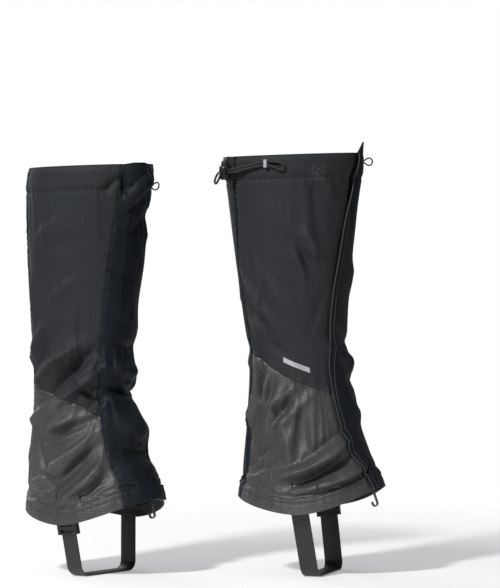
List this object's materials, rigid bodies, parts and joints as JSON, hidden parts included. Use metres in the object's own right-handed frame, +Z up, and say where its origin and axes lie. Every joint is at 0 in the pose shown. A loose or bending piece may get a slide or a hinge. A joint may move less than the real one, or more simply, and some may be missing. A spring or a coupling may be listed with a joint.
{
  "type": "pair of gaiters",
  "caption": "Pair of front-opening hiking gaiters with hinged flaps, drawcord top hems with spring locks, lace hooks and underfoot straps.",
  "frame": {"origin": "centre of the left gaiter's top opening, where the wearer's leg holds it", "axes": "+X the way the wearer walks, +Y the wearer's left, +Z up the leg"},
  "size_m": [0.3721, 0.2349, 0.4625],
  "materials": {
    "calf_fabric": "matt charcoal softshell, fine plain weave",
    "stretch_fabric": "navy-black stretch weave, faintly ribbed",
    "ripstop_fabric": "warm grey ripstop, coated, with a fine square grid",
    "black_webbing": "ribbed black webbing",
    "strap_rubber": "black rubber-coated strap, satin",
    "black_plastic": "moulded black acetal",
    "grey_plastic": "pale grey moulded clip",
    "cord_black": "black braided elastic cord",
    "hook_and_loop": "black hook-and-loop tape",
    "dark_metal": "dark plated steel wire and plate",
    "spring_steel": "plain spring wire",
    "reflective_print": "pale grey reflective transfer"
  },
  "bodies": {
    "left_gaiter": {"left_ankle_elastic": "black_webbing", "left_back_panel": "stretch_fabric", "left_bottom_hem_tape": "black_webbing", "left_cord_eyelet": "dark_metal", "left_cord_keeper": "grey_plastic", "left_cord_lock_barrel": "black_plastic", "left_cord_lock_spring": "spring_steel", "left_cord_lock_tab": "black_webbing", "left_drawcord": "cord_black", "left_drawcord_loop": "cord_black", "left_hook_strip": "hook_and_loop", "left_inner_calf_panel": "calf_fabric", "left_inner_instep_patch": "ripstop_fabric", "left_lace_hook_tab": "black_webbing", "left_outer_calf_panel": "calf_fabric", "left_outer_instep_patch": "ripstop_fabric", "left_reflective_bar": "reflective_print", "left_strap_anchor_inner": "black_webbing", "left_strap_anchor_outer": "black_webbing", "left_top_hem_facing": "calf_fabric"},
    "left_flap_upper_body": {"left_flap_upper": "stretch_fabric", "left_loop_strip_upper": "hook_and_loop", "left_flap_pull_loop": "cord_black"},
    "left_flap_lower_body": {"left_flap_lower": "stretch_fabric", "left_loop_strip_lower": "hook_and_loop"},
    "left_strap_body": {"left_underfoot_strap": "strap_rubber", "left_strap_buckle": "black_plastic"},
    "left_button_body": {"left_cord_lock_button": "black_plastic"},
    "left_lace_hook_body": {"left_lace_hook": "dark_metal"},
    "right_gaiter": {"right_ankle_elastic": "black_webbing", "right_back_panel": "stretch_fabric", "right_bottom_hem_tape": "black_webbing", "right_cord_eyelet": "dark_metal", "right_cord_keeper": "grey_plastic", "right_cord_lock_barrel": "black_plastic", "right_cord_lock_spring": "spring_steel", "right_cord_lock_tab": "black_webbing", "right_drawcord": "cord_black", "right_drawcord_loop": "cord_black", "right_hook_strip": "hook_and_loop", "right_inner_calf_panel": "calf_fabric", "right_inner_instep_patch": "ripstop_fabric", "right_lace_hook_tab": "black_webbing", "right_outer_calf_panel": "calf_fabric", "right_outer_instep_patch": "ripstop_fabric", "right_reflective_bar": "reflective_print", "right_strap_anchor_inner": "black_webbing", "right_strap_anchor_outer": "black_webbing", "right_top_hem_facing": "calf_fabric"},
    "right_flap_upper_body": {"right_flap_upper": "stretch_fabric", "right_loop_strip_upper": "hook_and_loop", "right_flap_pull_loop": "cord_black"},
    "right_flap_lower_body": {"right_flap_lower": "stretch_fabric", "right_loop_strip_lower": "hook_and_loop"},
    "right_strap_body": {"right_underfoot_strap": "strap_rubber", "right_strap_buckle": "black_plastic"},
    "right_button_body": {"right_cord_lock_button": "black_plastic"},
    "right_lace_hook_body": {"right_lace_hook": "dark_metal"}
  },
  "joints": [
    {"name": "right_stride", "type": "slide", "parent": "left_gaiter", "child": "right_gaiter", "axis": [-1, 0, 0], "range_m": [0, 0.25]},
    {"name": "left_flap_upper_open", "type": "hinge", "parent": "left_gaiter", "child": "left_flap_upper_body", "pos_m": [0.05351, 0.03763, -0.1065], "axis": [0.0707, 0.0158, 0.9974], "range_deg": [0, 110]},
    {"name": "left_flap_lower_open", "type": "hinge", "parent": "left_gaiter", "child": "left_flap_lower_body", "pos_m": [0.06473, 0.04296, -0.288], "axis": [-0.2539, -0.082, 0.9638], "range_deg": [0, 110]},
    {"name": "left_strap_swing", "type": "hinge", "parent": "left_gaiter", "child": "left_strap_body", "pos_m": [0.02614, 0.00437, -0.375], "axis": [-0.165, 0.9863, 0], "range_deg": [-30, 30]},
    {"name": "left_button_press", "type": "slide", "parent": "left_gaiter", "child": "left_button_body", "axis": [0, 0, -1], "range_m": [0, 0.0024], "stiffness_N_per_m": 400, "springref_m": -0.002, "deforming": ["left_cord_lock_spring"]},
    {"name": "left_lace_hook_swing", "type": "hinge", "parent": "left_gaiter", "child": "left_lace_hook_body", "pos_m": [0.09531, 0.0085, -0.3605], "axis": [0.013, 0.9989, 0.0459], "range_deg": [-10, 40]},
    {"name": "right_flap_upper_open", "type": "hinge", "parent": "right_gaiter", "child": "right_flap_upper_body", "pos_m": [-0.1436, -0.13914, -0.1185], "axis": [-0.134, 0.0045, -0.991], "range_deg": [0, 110]},
    {"name": "right_flap_lower_open", "type": "hinge", "parent": "right_gaiter", "child": "right_flap_lower_body", "pos_m": [-0.141, -0.14361, -0.3], "axis": [0.2601, -0.0669, -0.9633], "range_deg": [0, 110]},
    {"name": "right_strap_swing", "type": "hinge", "parent": "right_gaiter", "child": "right_strap_body", "pos_m": [-0.17979, -0.10277, -0.387], "axis": [0.165, 0.9863, 0], "range_deg": [-30, 30]},
    {"name": "right_button_press", "type": "slide", "parent": "right_gaiter", "child": "right_button_body", "axis": [0, 0, -1], "range_m": [0, 0.0024], "stiffness_N_per_m": 400, "springref_m": -0.002, "deforming": ["right_cord_lock_spring"]},
    {"name": "right_lace_hook_swing", "type": "hinge", "parent": "right_gaiter", "child": "right_lace_hook_body", "pos_m": [-0.11026, -0.10676, -0.37257], "axis": [-0.013, 0.9995, -0.0293], "range_deg": [-10, 40]}
  ],
  "couplings": [
    {"joint": "left_flap_lower_open", "follows": "left_flap_upper_open", "ratio": 1},
    {"joint": "right_flap_lower_open", "follows": "right_flap_upper_open", "ratio": 1}
  ]
}
